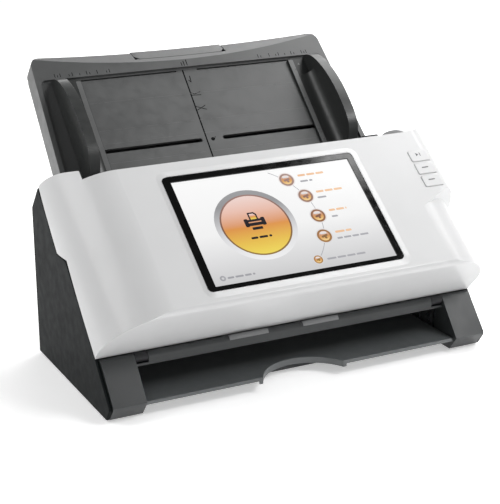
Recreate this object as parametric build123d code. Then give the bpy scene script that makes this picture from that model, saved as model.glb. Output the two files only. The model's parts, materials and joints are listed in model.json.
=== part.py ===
from build123d import *
import math
import os

os.makedirs("parts", exist_ok=True)

# Driving dimensions, in mm and degrees. Side-view points are (y, z): y = 0 is the middle of the base
# and z = 0 is the surface that the scanner stands on.
WIDTH = 318.0                       # over the two side covers
WALL = 2.5                          # thickness of the casings
GAP = 0.6                           # visible joint between casings
FOOT_GAP = 1.2                      # height of the rubber feet
SIDE_WALL = 2.0                     # thickness of a side cover
HALF = WIDTH / 2
INNER_HALF = HALF - SIDE_WALL - 0.5

# Side cover outline
BASE_FRONT_Y = -72.4
BACK_Y = 72.5
BACK_TOP = (BACK_Y, 120.0)
APEX = (55.6, 140.1)
STEP_BACK = (17.5, 98.3)
STEP_FRONT = (-1.0, 98.3)
COVER_FOOT = (-54.4, 42.0)
SIDE_TOE = (-78.8, 13.6)

# Front cover: chin, screen face and top edge
CHIN_FOOT = (-55.7, 42.7)
CREASE = (-92.0, 80.4)
COVER_TOP = (12.0, 158.4)
COVER_UNDERSIDE = [(60.0, 100.0), (-48.0, 24.0)]    # cut away by the side outline
EAR_CROWN = (35.6, 153.9)
FACE_TILT = 36.9
FACE_MIDDLE = (-40.8, 118.8)        # centre of the screen
LEFT_ROUND = 48.0                   # radii of the cover's rounded sides
RIGHT_ROUND = 40.0
POD_ROUND = 17.0                    # tighter radius beside the buttons
POD_CORNER = (142.0, 3.6)           # where the button side ends, on the face
POD_TURN = 26.6                     # slant of that end across the face
MOUTH_HALF = 137.0                  # half width of the paper mouth between the ears

# Paper path, a plane that rises to the back
PATH_TILT = 43.7
PATH_POINT = (133.3, 200.4)         # on the path, at the tray's upper slots
TRAY_FOOT = -98.0                   # where the tray meets the base, along the path
PATH_END = -222.0
MOUTH_V = -117.0
CHANNEL_HALF = 130.0                # half width of the paper channel
CHEEK = 4.5                         # height of the shoulders beside the channel
PLATE = 2.5                         # thickness of the guide plates

# Rollers, all with the same drive gears
ROLLER_R = 8.2
SHAFT_R = 3.0
SHAFT_DEPTH = 8.0                   # shaft axis below the path
BORE_SLACK = 0.05                   # radial clearance of a running fit
BUSH_R = 4.5
PICK_V = -130.0
FEED_V = -152.0
EXIT_V = -206.0
PINCH_R = 5.3
PINCH_HEIGHT = 5.8                  # pinch roller axis above the path
GEAR_MODULE = 1.0
DRIVE_TEETH = 16
LARGE_TEETH = 44
MOTOR_TEETH = 12
SMALL_R = DRIVE_TEETH * GEAR_MODULE / 2
LARGE_R = LARGE_TEETH * GEAR_MODULE / 2
MOTOR_R = MOTOR_TEETH * GEAR_MODULE / 2
CENTRE_SLACK = 0.1                  # added to each centre distance
GEAR_X = 137.0
GEAR_WIDTH = 5.0
STUD_R = 2.0
MOTOR_SHAFT_R = 1.5
ROLLERS = {                         # along the path, centres across it, width of each
    "pick": (PICK_V, (-13.0, 13.0), 18.0),
    "feed": (FEED_V, (-84.0, -30.0, 30.0, 84.0), 16.0),
    "exit": (EXIT_V, (-84.0, -30.0, 30.0, 84.0), 16.0),
}
PAD_V = -143.0                      # foot of the separation pad's arm
PAD_PIVOT = (PAD_V + 2.0, 5.4)
LOWER_SCAN_V = -170.0
UPPER_SCAN_V = -187.0
SCAN_HALF = 112.0

# Cover hinge
HINGE = (-57.5, 38.0)
KNUCKLE_R = 3.4
HINGE_PIN_R = 1.5
KNUCKLE_X = (121.0, 130.6)

# Screen and buttons, placed on the cover's face
GLASS_WIDTH = 160.0
GLASS_BOTTOM = -51.7
GLASS_TOP = 52.0
SURROUND = 7.0                      # width of the soft slope round the screen
SURROUND_RISE = 0.9
SURROUND_LEDGE = 1.5                # flat rim between the slope and the glass
BUTTON_X = 138.5
BUTTON_ROWS = {"top": 40.1, "middle": 27.3, "bottom": 14.5}
BUTTON_SIZE = (17.0, 10.4)
BUTTON_LIP = 0.8                    # how far the flange reaches round the cap
BUTTON_FLANGE = (-5.6, -4.4)        # flange behind the shell, above the face
BUTTON_TRAVEL = 1.0

# Input tray
TRAY_TOP = 25.0
TRAY_HALF_TOP = 130.3
TRAY_HALF_FOOT = 135.4
TRAY_DEPTH = 14.5
COVER_PLATE = 2.0
SLOT_FOOT = -68.6                   # wide guide slots; the narrow ones are at 0
SLOT_WIDTHS = {0.0: 1.3, SLOT_FOOT: 3.8}
FENCE_X = 109.5                     # inner face of a guide when it is wide open
FENCE_THICK = 8.5
FENCE_ROOT = 10.0                   # radius between fence and foot plate
GUIDE_FOOT_X = 94.0
GUIDE_TRAVEL = 84.0
GUIDE_POST_X = (GUIDE_FOOT_X + 2.0, GUIDE_FOOT_X + 10.0)
SLOT_X = (GUIDE_POST_X[0] - GUIDE_TRAVEL - 2.8, GUIDE_POST_X[1] + 4.0)
EXTENSION_HALF = 41.0
EXTENSION_TRAVEL = 55.0
EXTENSION_FOOT = TRAY_TOP - EXTENSION_TRAVEL - 16.0
PINION_V = -34.0
PINION_TEETH = 28
PINION_R = PINION_TEETH * GEAR_MODULE / 2 + CENTRE_SLACK
PINION_PHASE = 90.0 + 180.0 / PINION_TEETH
RACK_LENGTH = 112.0
RACK_LAYER = (-8.0, -4.0)

# Rear sockets
PORT_X = {"dc_jack": 90.0, "usb_port": 64.0, "network_port": 38.0}
PORT_Z = 24.0

# Latch
LATCH_V = -134.0
LATCH_HEIGHT = 24.0
LATCH_SHAFT_R = 2.5
HOOK_X = 143.0


def along(origin, tilt, v, h):
    """The (y, z) of a point v up a tilted line and h above it."""
    c = math.cos(math.radians(tilt))
    s = math.sin(math.radians(tilt))
    return (origin[0] + v * c - h * s, origin[1] + v * s + h * c)


def on_path(v, h):
    return along(PATH_POINT, PATH_TILT, v, h)


def on_face(v, h):
    return along(FACE_MIDDLE, FACE_TILT, v, h)


def tilted_frame(origin, tilt):
    normal = (0, -math.sin(math.radians(tilt)), math.cos(math.radians(tilt)))
    return Plane(origin=(0, *origin), x_dir=(1, 0, 0), z_dir=normal).location


PATH_FRAME = tilted_frame(PATH_POINT, PATH_TILT)
FACE_FRAME = tilted_frame(FACE_MIDDLE, FACE_TILT)


def block(x, y, z):
    """A box from three (low, high) pairs."""
    size = Box(x[1] - x[0], y[1] - y[0], z[1] - z[0])
    return Pos((x[0] + x[1]) / 2, (y[0] + y[1]) / 2, (z[0] + z[1]) / 2) * size


def rod(x0, x1, y, z, radius):
    """A cylinder along X."""
    return Pos((x0 + x1) / 2, y, z) * Rot(0, 90, 0) * Cylinder(radius, x1 - x0)


def post(x, y, z0, z1, radius):
    """A cylinder along Z."""
    return Pos(x, y, (z0 + z1) / 2) * Cylinder(radius, z1 - z0)


def side_face(points, radius=0.0):
    """A face in the plane x = 0 from (y, z) points, with its corners rounded."""
    corners = [(0, y, z) for y, z in points]
    if radius:
        return make_face(FilletPolyline(*corners, radius=radius, close=True))
    return make_face(Polyline(*corners, close=True))


def prism(face, x0, x1):
    """A face in the plane x = 0 extruded from x0 to x1."""
    return Pos(x0, 0, 0) * extrude(face, amount=x1 - x0, dir=(1, 0, 0))


def mirrored(shape):
    return mirror(shape, about=Plane.YZ)


def slab(width, length, radius, z0, z1, x=0.0, y=0.0):
    """A flat plate with rounded corners."""
    plate = extrude(RectangleRounded(width, length, radius), amount=z1 - z0)
    return Pos(x, y, z0) * plate


# ---------------------------------------------------------------- gears

def involute(angle):
    return math.tan(angle) - angle


def gear_outline(teeth, backlash=0.3):
    """Involute gear outline with a tooth on +X, as a face in the XY plane."""
    pressure = math.radians(20)
    pitch_r = teeth * GEAR_MODULE / 2
    base_r = pitch_r * math.cos(pressure)
    tip_r = pitch_r + 0.85 * GEAR_MODULE
    root_r = pitch_r - 1.15 * GEAR_MODULE
    half_pitch = (math.pi * GEAR_MODULE / 2 - backlash) / (2 * pitch_r)
    flank = [root_r] + [max(base_r, root_r) + (tip_r - max(base_r, root_r)) * i / 4 for i in range(5)]
    half = []
    for r in flank:
        roll = math.acos(min(1.0, base_r / max(r, base_r)))
        half.append((r, half_pitch + involute(pressure) - involute(roll)))
    if root_r >= base_r:
        half = half[1:]
    points = []
    for tooth in range(teeth):
        centre = tooth * 2 * math.pi / teeth
        for r, a in half:
            points.append((r * math.cos(centre - a), r * math.sin(centre - a)))
        for r, a in reversed(half):
            points.append((r * math.cos(centre + a), r * math.sin(centre + a)))
    return make_face(Polyline(*points, close=True))


def side_gear(teeth, v, h, phase, bore):
    """A gear on an axis along X, in the path frame, with a tooth at `phase` degrees from the +v axis."""
    blank = extrude(gear_outline(teeth), amount=GEAR_WIDTH) - Cylinder(bore, 3 * GEAR_WIDTH)
    if teeth > 30:
        blank -= Pos(0, 0, 1.5) * extrude(Circle(teeth / 2 - 4) - Circle(6), amount=GEAR_WIDTH)
    upright = Plane(origin=(0, 0, 0), x_dir=(0, 1, 0), z_dir=(1, 0, 0)).location
    return Pos(GEAR_X, v, h) * upright * Rot(0, 0, phase) * blank


def meshing_phase(phase, teeth, other_teeth, direction):
    """Phase of the next gear so that its gap faces the first gear's tooth along `direction`."""
    pitch = 360.0 / teeth
    offset = ((direction - phase) % pitch) / pitch
    other_pitch = 360.0 / other_teeth
    return direction + 180 + other_pitch * (offset + 0.5)


def apex_below(v0, v1, reach):
    """The centre below two shafts that is `reach` from both."""
    half = abs(v1 - v0) / 2
    return ((v0 + v1) / 2, -SHAFT_DEPTH - math.sqrt(reach * reach - half * half))


SMALL_IDLER = apex_below(PICK_V, FEED_V, 2 * SMALL_R + CENTRE_SLACK)
LARGE_IDLER = apex_below(FEED_V, EXIT_V, SMALL_R + LARGE_R + CENTRE_SLACK)
MOTOR_AXIS = (LARGE_IDLER[0], LARGE_IDLER[1] - LARGE_R - MOTOR_R - CENTRE_SLACK)


def bearing(a, b):
    """Direction from one (v, h) centre to another, in degrees."""
    return math.degrees(math.atan2(b[1] - a[1], b[0] - a[0]))


def drive_gears():
    pick = (PICK_V, -SHAFT_DEPTH)
    feed = (FEED_V, -SHAFT_DEPTH)
    exit_axis = (EXIT_V, -SHAFT_DEPTH)
    large_phase = 0.0
    feed_phase = meshing_phase(large_phase, LARGE_TEETH, DRIVE_TEETH, bearing(LARGE_IDLER, feed))
    exit_phase = meshing_phase(large_phase, LARGE_TEETH, DRIVE_TEETH, bearing(LARGE_IDLER, exit_axis))
    motor_phase = meshing_phase(large_phase, LARGE_TEETH, MOTOR_TEETH, bearing(LARGE_IDLER, MOTOR_AXIS))
    small_phase = meshing_phase(feed_phase, DRIVE_TEETH, DRIVE_TEETH, bearing(feed, SMALL_IDLER))
    pick_phase = meshing_phase(small_phase, DRIVE_TEETH, DRIVE_TEETH, bearing(SMALL_IDLER, pick))
    stud_bore = STUD_R + BORE_SLACK
    return {
        "pick_gear": side_gear(DRIVE_TEETH, *pick, pick_phase, SHAFT_R),
        "feed_gear": side_gear(DRIVE_TEETH, *feed, feed_phase, SHAFT_R),
        "exit_gear": side_gear(DRIVE_TEETH, *exit_axis, exit_phase, SHAFT_R),
        "small_idler_gear": side_gear(DRIVE_TEETH, *SMALL_IDLER, small_phase, stud_bore),
        "large_idler_gear": side_gear(LARGE_TEETH, *LARGE_IDLER, large_phase, stud_bore),
        "motor_pinion": side_gear(MOTOR_TEETH, *MOTOR_AXIS, motor_phase, MOTOR_SHAFT_R),
    }


# ---------------------------------------------------------------- base casings

SIDE_POINTS = [
    (BASE_FRONT_Y, FOOT_GAP),
    (BACK_Y, FOOT_GAP),
    BACK_TOP,
    APEX,
    STEP_BACK,
    STEP_FRONT,
    COVER_FOOT,
    SIDE_TOE,
    (-79.3, 10.9),
]


def side_cover():
    """The right side cover: a flat panel with softened outer edges."""
    panel = prism(side_face(SIDE_POINTS, 1.6), HALF - SIDE_WALL, HALF)
    outer_edges = panel.faces().sort_by(Axis.X)[-1].edges()
    return chamfer(outer_edges, 0.7)


def pillar():
    """The right front pillar: a sloping face, rounded over the hinge, open at the back."""
    slope = math.atan2(41.9 - 13.0, 81.6 - 58.8)
    nose = (HINGE[0] - KNUCKLE_R * math.sin(slope), HINGE[1] + KNUCKLE_R * math.cos(slope))
    outline = [(BASE_FRONT_Y, FOOT_GAP), (-50.0, FOOT_GAP), (-50.0, 38.0), (-54.0, HINGE[1]), HINGE, nose,
               (-81.6, 13.0), (-79.9, 10.4)]
    x0, x1 = CHANNEL_HALF + 1.0, INNER_HALF
    body = prism(side_face(outline), x0, x1) + rod(x0, x1, *HINGE, KNUCKLE_R)
    body += prism(side_face([(-57.5, 30.0), (-50.0, 30.0), (-50.0, 39.5), (-57.5, 40.5)]), x0, x1)
    hollow = prism(side_face([(-70.5, 4.0), (-49.0, 4.0), (-49.0, 31.0), (-60.5, 31.0), (-75.5, 13.0)]),
                   x0 + WALL, x1 - WALL)
    return body - hollow - rod(x0 - 1, x0 + 4.0, *HINGE, HINGE_PIN_R)


def crossbeam():
    """The fixed beam between the pillars, with the inner hinge bearings at its ends."""
    end = KNUCKLE_X[0] - 0.4
    foot = 32.4
    nose_face = side_face([(-60.6, foot), (-50.0, foot), (-50.0, 39.6), (-57.5, 41.4), (-60.9, 38.0)])
    nose = prism(nose_face, -end, end)
    nose += rod(-end, end, *HINGE, KNUCKLE_R)
    strap = prism(side_face([(-60.6, foot), (-50.0, foot), (-50.0, 34.2), (-60.6, 34.2)]),
                  -CHANNEL_HALF - 0.8, CHANNEL_HALF + 0.8)
    groove = block((-end + 8, end - 8), (-59.0, -52.0), (foot - 1, 36.4))
    bores = rod(-end - 1, -end + 4, *HINGE, HINGE_PIN_R) + rod(end - 4, end + 1, *HINGE, HINGE_PIN_R)
    return nose + strap + beam_tabs() - groove - bores


def hinge_pins():
    pin = rod(KNUCKLE_X[0] - 3.9, CHANNEL_HALF + 4.5, *HINGE, HINGE_PIN_R)
    return pin + mirrored(pin)


def beam_tabs():
    """Two raised strips along the top of the beam, under the cover's edge."""
    tab_profile = side_face([(-60.95, 38.6), (-60.4, 40.6), (-59.2, 41.7), (-57.5, 42.1), (-57.5, 41.4),
                             (-58.8, 41.2), (-60.0, 40.5), (-60.75, 39.0)])
    return prism(tab_profile, -55.0, -24.0) + prism(tab_profile, 4.0, 36.0)


def base_pan():
    """Floor of the base, with an upturned rim and board stands."""
    low = FOOT_GAP
    pan = block((-INNER_HALF, INNER_HALF), (-49.4, 69.6), (low, low + WALL))
    for x in (-100.0, -20.0, 40.0):
        pan += post(x, 52.0, low + WALL, low + WALL + 4, 3.0)
    rows = [20.0 + 6 * i for i in range(4)]
    vents = [block((x - 12, x + 12), (y, y + 2.5), (0, 6)) for x in (-60.0, 20.0) for y in rows]
    return pan - vents


def rear_cover():
    """Back wall and the sloping end that the tray plugs into, with ports and air slots."""
    cap_v = TRAY_FOOT - 0.6
    corner = on_path(cap_v, -TRAY_DEPTH - COVER_PLATE)
    cap_top = on_path(cap_v, -PLATE - 0.4)
    cap_inner = on_path(cap_v - WALL, -PLATE - 0.4)
    inner_corner = on_path(cap_v - WALL, -TRAY_DEPTH - COVER_PLATE + 1.0)
    outline = [(BACK_Y, FOOT_GAP), (BACK_Y, corner[1]), corner, cap_top, cap_inner, inner_corner,
               (BACK_Y - WALL, inner_corner[1]), (BACK_Y - WALL, FOOT_GAP)]
    cover = prism(side_face(outline), -INNER_HALF, INNER_HALF)
    for x0 in (PORT_X["dc_jack"], PORT_X["usb_port"], PORT_X["network_port"]):
        cover -= block((x0 - 8.3, x0 + 8.3), (BACK_Y - 6, BACK_Y + 1), (PORT_Z - 7.3, PORT_Z + 7.3))
    cover -= [block((x, x + 2.4), (BACK_Y - 6, BACK_Y + 1), (62, 92)) for x in range(-120, -58, 6)]
    sockets = PATH_FRAME * (tongues(0.4) + mirrored(tongues(0.4)))
    return cover - sockets


def tongues(slack):
    """The right locating tongue under the tray, in the path frame."""
    return block((70 - slack, 90 + slack), (TRAY_FOOT - 14 - slack, TRAY_FOOT + 6), (-12 - slack, -7 + slack))


def port(name):
    """A rear socket: a square body with an open cavity that faces backwards."""
    x = PORT_X[name]
    body = block((x - 8, x + 8), (BACK_Y - 18, BACK_Y - 0.3), (PORT_Z - 7, PORT_Z + 7))
    mouth = (BACK_Y - 13, BACK_Y + 1)
    if name == "dc_jack":
        bore = Cylinder(4.2, mouth[1] - mouth[0])
        socket = Pos(x, (mouth[0] + mouth[1]) / 2, PORT_Z) * Rot(90, 0, 0) * bore
        pin = Pos(x, BACK_Y - 8.5, PORT_Z) * Rot(90, 0, 0) * Cylinder(1.0, 12.0)
        return body - socket + pin
    if name == "usb_port":
        socket = block((x - 4.3, x + 4.3), mouth, (PORT_Z - 4, PORT_Z + 4))
        tongue = block((x - 2.8, x + 2.8), (BACK_Y - 14, BACK_Y - 3), (PORT_Z - 1.4, PORT_Z + 1.4))
        return body - socket + tongue
    socket = block((x - 6, x + 6), mouth, (PORT_Z - 4.5, PORT_Z + 3.2))
    clip_way = block((x - 2, x + 2), mouth, (PORT_Z + 3, PORT_Z + 5.2))
    return body - socket - clip_way


def main_board():
    board = block((-118, 102), (BACK_Y - 20.2, BACK_Y - 18.6), (12, 60))
    chips = [((-90, -66), (30, 50)), ((-40, -24), (26, 42)), ((0, 12), (36, 48))]
    for x, z in chips:
        board += block(x, (BACK_Y - 22.4, BACK_Y - 20), z)
    return board


def side_frame():
    """The right side frame: a plate that carries the shafts."""
    outline = [(-46.0, 12.0), (-34.0, FOOT_GAP + WALL), (60.0, FOOT_GAP + WALL), (66.0, 20.0), (66.0, 108.0),
               on_path(TRAY_FOOT - 6, -PLATE - 0.5), on_path(PATH_END + 2, -PLATE - 0.5), (-46.0, 31.0)]
    plate = prism(side_face(outline), CHANNEL_HALF + 3, CHANNEL_HALF + 5)
    holes = [rod(CHANNEL_HALF, CHANNEL_HALF + 9, v, -SHAFT_DEPTH, BUSH_R) for v in (PICK_V, FEED_V, EXIT_V)]
    plate -= [PATH_FRAME * hole for hole in holes]
    return plate


def right_frame():
    """The right frame also has the motor's clearance hole and the studs of the two idler gears."""
    frame = side_frame() - PATH_FRAME * rod(CHANNEL_HALF, CHANNEL_HALF + 9, *MOTOR_AXIS, 5.0)
    for centre in (SMALL_IDLER, LARGE_IDLER):
        frame += PATH_FRAME * rod(CHANNEL_HALF + 4, GEAR_X + GEAR_WIDTH + 1.5, *centre, STUD_R)
    return frame


def shaft_bushes():
    bushes = []
    for side in (-1, 1):
        middle = side * (CHANNEL_HALF + 4)
        for v in (PICK_V, FEED_V, EXIT_V):
            barrel = rod(middle - 1.6, middle + 1.6, v, -SHAFT_DEPTH, BUSH_R)
            bushes.append(barrel - rod(middle - 4, middle + 4, v, -SHAFT_DEPTH, SHAFT_R + BORE_SLACK))
    return PATH_FRAME * Compound(children=bushes)


def lower_guide():
    """The lower paper guide, a flat plate with windows for rollers and glass, and a shoulder at each side."""
    length = (PATH_END, TRAY_FOOT - 0.5)
    through = (-PLATE - 1, 1)
    plate = block((-CHANNEL_HALF, CHANNEL_HALF), length, (-PLATE, 0))
    for v, centres, width in ROLLERS.values():
        for x in centres:
            plate -= block((x - width / 2 - 1, x + width / 2 + 1), (v - 7.2, v + 7.2), through)
    scan_rows = (LOWER_SCAN_V - 7.3, LOWER_SCAN_V + 7.3)
    plate -= block((-SCAN_HALF - 0.3, SCAN_HALF + 0.3), scan_rows, through)
    return PATH_FRAME * Compound([*plate.solids(), *shoulder().solids(), *mirrored(shoulder()).solids()])


def shoulder():
    """The right shoulder beside the paper channel, with the slot that the latch hook drops into."""
    length = (PATH_END, TRAY_FOOT - 0.5)
    inner = CHANNEL_HALF + 0.1
    rail = block((inner, INNER_HALF), length, (CHEEK - 2, CHEEK))
    rail += block((inner, inner + 2), length, (-PLATE, CHEEK))
    return rail - block((HOOK_X - 1.5, HOOK_X + 5.5), (LATCH_V - 7, LATCH_V + 7.5), (0, CHEEK + 1))


def drive_shaft(name):
    v = ROLLERS[name][0]
    return PATH_FRAME * rod(-CHANNEL_HALF - 7, GEAR_X + GEAR_WIDTH + 1, v, -SHAFT_DEPTH, SHAFT_R)


def drive_rollers(name):
    v, centres, width = ROLLERS[name]
    tyres = []
    for x in centres:
        tyre = rod(x - width / 2, x + width / 2, v, -SHAFT_DEPTH, ROLLER_R)
        tyres.append(tyre - rod(x - width, x + width, v, -SHAFT_DEPTH, SHAFT_R))
    return PATH_FRAME * Compound(children=tyres)


def scan_unit(v, h0, h1):
    bar = block((-SCAN_HALF, SCAN_HALF), (v - 7, v + 7), (h0, h1))
    return PATH_FRAME * chamfer(bar.edges().filter_by(Axis.X), 1.0)


def scan_glass(v, h0, h1):
    return PATH_FRAME * block((-SCAN_HALF, SCAN_HALF), (v - 7, v + 7), (h0, h1))


def bay_liner():
    """The sheet that closes the output bay above and behind."""
    outer = [on_path(PATH_END + 1.5, -PLATE - 0.3), on_path(PATH_END + 4, -20.0), (5.0, 34.0), (5.0, 8.0)]
    inner = [(7.0, 8.0), (7.0, 36.0), (-9.8, 36.6), on_path(PATH_END + 6, -18.5),
             on_path(PATH_END + 3.6, -PLATE - 0.3)]
    return prism(side_face(outer + inner), -CHANNEL_HALF - 0.6, CHANNEL_HALF + 0.6)


def output_slab():
    """The slab under the bay, with a finger notch in its front edge."""
    notch_depth = 22.0
    notch_half = 34.0
    front = -77.5
    top = 12.0
    notch_r = (notch_half ** 2 + notch_depth ** 2) / (2 * notch_depth)
    middle = front - notch_r + notch_depth
    body = block((-CHANNEL_HALF - 0.6, CHANNEL_HALF + 0.6), (front, 4.6), (9.2, top))
    skirt = block((-notch_half - 9, notch_half + 3), (front, 0), (6.8, top))
    body += post(-3.0, middle, 6.8, top, notch_r + 3) & skirt
    body -= post(-3.0, middle, 5.0, 20.0, notch_r)
    return body


def rubber_feet():
    spots = [(x, y) for x in (-143.0, 143.0) for y in (-63.0, 58.0)]
    return Compound(children=[post(x, y, 0, FOOT_GAP, 6.0) for x, y in spots])


def motor():
    """The drive motor with its boss and shaft hole, on the inside of the right frame."""
    face = CHANNEL_HALF + 2.8
    v, h = MOTOR_AXIS
    can = block((face - 24, face), (v - 17, v + 17), (h - 17, h + 17))
    can = chamfer(can.edges().filter_by(Axis.X), 3.0)
    can += rod(face, face + 3.5, v, h, 4.5)
    return PATH_FRAME * (can - rod(face - 12, face + 5, v, h, MOTOR_SHAFT_R + BORE_SLACK))


def motor_pinion(gear):
    """The motor's pinion with its shaft, in one piece as pressed together."""
    return PATH_FRAME * (gear + rod(CHANNEL_HALF - 7, GEAR_X + GEAR_WIDTH + 1, *MOTOR_AXIS, MOTOR_SHAFT_R))


def frame_screws():
    """Pan-head screws that hold the side frames to the base."""
    screws = []
    for side in (-1, 1):
        for y, z in ((-28.0, 12.0), (52.0, 12.0), (58.0, 98.0)):
            x = side * (CHANNEL_HALF + 5)
            screws.append(rod(*sorted((x, x + side * 1.8)), y, z, 3.0))
    return Compound(children=screws)


# ---------------------------------------------------------------- front cover

def cover_outline():
    """Closed outline of the cover with its underside well inside the base."""
    lines = Polyline(*[(0, *point) for point in COVER_UNDERSIDE], (0, *CHIN_FOOT))
    chin = FilletPolyline((0, *CHIN_FOOT), (0, *CREASE), (0, *COVER_TOP), radius=4.0)
    crown = ThreePointArc((0, *COVER_TOP), (0, *EAR_CROWN), (0, *APEX))
    close = Line((0, *APEX), (0, *COVER_UNDERSIDE[0]))
    return make_face([*lines.edges(), *chin.edges(), *crown.edges(), *close.edges()])


def rounded_section(inset):
    """The cover's section across the face: flat in front with large rounded sides, along the face."""
    half = HALF - inset
    top = -inset
    depth = -130.0

    def section(left_r, right_r):
        left, right = left_r - inset, right_r - inset
        shape = Polyline((-half, top - left), (-half, depth), (half, depth), (half, top - right))
        shape += RadiusArc((half, top - right), (half - right, top), -right)
        shape += Line((half - right, top), (-half + left, top))
        shape += RadiusArc((-half + left, top), (-half, top - left), -left)
        return Plane.XZ * make_face(shape)

    full = Pos(0, 160, 0) * extrude(section(LEFT_ROUND, RIGHT_ROUND), amount=320)
    tight = Pos(0, 160, 0) * extrude(section(LEFT_ROUND, POD_ROUND), amount=320)
    ramp = 0.35
    beyond = prism(side_face([(20 * ramp, 20.0), (-80 * ramp, -80.0), (220.0, -80.0), (220.0, 20.0)]),
                   -60.0, 260.0)
    tight &= Pos(POD_CORNER[0], POD_CORNER[1] + inset, 0) * Rot(0, 0, POD_TURN) * beyond
    return FACE_FRAME * (full + tight)


def cover_solid(inset):
    outline = cover_outline()
    if inset:
        outline = offset(outline, amount=-inset, kind=Kind.INTERSECTION)
    return prism(outline, -HALF + inset, HALF - inset) & rounded_section(inset)


def mouth_space(slack):
    """The space behind the cover's top edge, between the ears, where paper goes in."""
    return PATH_FRAME * block((-MOUTH_HALF - slack, MOUTH_HALF + slack), (MOUTH_V - slack, 60), (-40, 120))


def screen_pocket(clearance):
    middle = (GLASS_TOP + GLASS_BOTTOM) / 2
    return (GLASS_WIDTH + 2 * clearance, GLASS_TOP - GLASS_BOTTOM + 2 * clearance, middle)


def screen_surround():
    """The soft slope that rises from the face to the screen's rim."""
    width, length, middle = screen_pocket(SURROUND)
    foot = Pos(0, middle, -0.3) * RectangleRounded(width, length, 9.0)
    width, length, middle = screen_pocket(SURROUND_LEDGE)
    rim = Pos(0, middle, SURROUND_RISE) * RectangleRounded(width, length, 4.5)
    return loft([foot, rim])


def cover_shell():
    """The white cover: chin, face with a soft raised surround, rounded sides and two ears."""
    outer = cover_solid(0) - mouth_space(0)
    outer += FACE_FRAME * screen_surround()
    shell = outer - (cover_solid(WALL) - mouth_space(WALL))
    parting = offset(side_face(SIDE_POINTS), amount=GAP, kind=Kind.INTERSECTION)
    shell -= prism(parting, -HALF - 1, HALF + 1)
    shell -= lever_slot()
    width, length, middle = screen_pocket(0.3)
    shell -= FACE_FRAME * slab(width, length, 3.3, -6, 4, y=middle)
    for v in BUTTON_ROWS.values():
        hole = slab(BUTTON_SIZE[0] + 0.6, BUTTON_SIZE[1] + 0.6, 1.6, -6, 4, x=BUTTON_X, y=v)
        shell -= FACE_FRAME * hole
    return shell


def face_button(v):
    """A push button: a crowned cap with a flange behind the shell."""
    cap = slab(*BUTTON_SIZE, 1.4, BUTTON_FLANGE[1], 0.7, x=BUTTON_X, y=v)
    cap = fillet(cap.faces().sort_by(Axis.Z)[-1].edges(), 0.6)
    flange = slab(BUTTON_SIZE[0] + 2 * BUTTON_LIP, BUTTON_SIZE[1] + 2 * BUTTON_LIP, 1.4, *BUTTON_FLANGE,
                  x=BUTTON_X, y=v)
    return FACE_FRAME * (cap + flange)


def button_board():
    """Switch board behind the buttons, with one switch under each."""
    top = -10.0
    board = block((BUTTON_X - 9, BUTTON_X + 9), (9.5, 46), (top - 1.6, top))
    for v in BUTTON_ROWS.values():
        switch_top = BUTTON_FLANGE[0] - BUTTON_TRAVEL - 0.3
        board += block((BUTTON_X - 3, BUTTON_X + 3), (v - 3, v + 3), (top, switch_top))
    return FACE_FRAME * board


def display_glass():
    width, length, middle = screen_pocket(0)
    glass = slab(width, length, 3.0, -1.9, -0.2, y=middle)
    return FACE_FRAME * fillet(glass.faces().sort_by(Axis.Z)[-1].edges(), 0.3)


def display_panel():
    width, length, middle = screen_pocket(-1.5)
    return FACE_FRAME * slab(width, length, 1.0, -7.6, -1.9, y=middle)


def display_bracket():
    """Sheet metal tray behind the display, with four ears and a cable window."""
    width, length, middle = screen_pocket(6.0)
    plate = slab(width, length, 4.0, -8.8, -7.7, y=middle)
    plate -= slab(60, 30, 3.0, -10, -5, y=middle - 10)
    for x in (-82.0, 82.0):
        for v in (middle - 40, middle + 40):
            plate += post(x, v, -7.8, -2.9, 2.6)
    return FACE_FRAME * plate


def display_board():
    middle = screen_pocket(0)[2]
    board = block((-66, 30), (middle + 6, middle + 46), (-12.4, -10.8))
    board += block((-40, -22), (middle + 16, middle + 34), (-14.0, -12.4))
    board += block((0, 18), (middle + 14, middle + 26), (-13.6, -12.4))
    stand_offs = [post(x, v, -10.8, -8.8, 2.0) for x in (-62, 26) for v in (middle + 9, middle + 43)]
    return FACE_FRAME * (board + stand_offs)


def cross(p, direction_p, q, direction_q):
    """Where two lines cross, each from a point and a direction, in (y, z)."""
    det = direction_p[0] * -direction_q[1] + direction_q[0] * direction_p[1]
    dy, dz = q[0] - p[0], q[1] - p[1]
    t = (dy * -direction_q[1] + direction_q[0] * dz) / det
    return (p[0] + t * direction_p[0], p[1] + t * direction_p[1])


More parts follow.
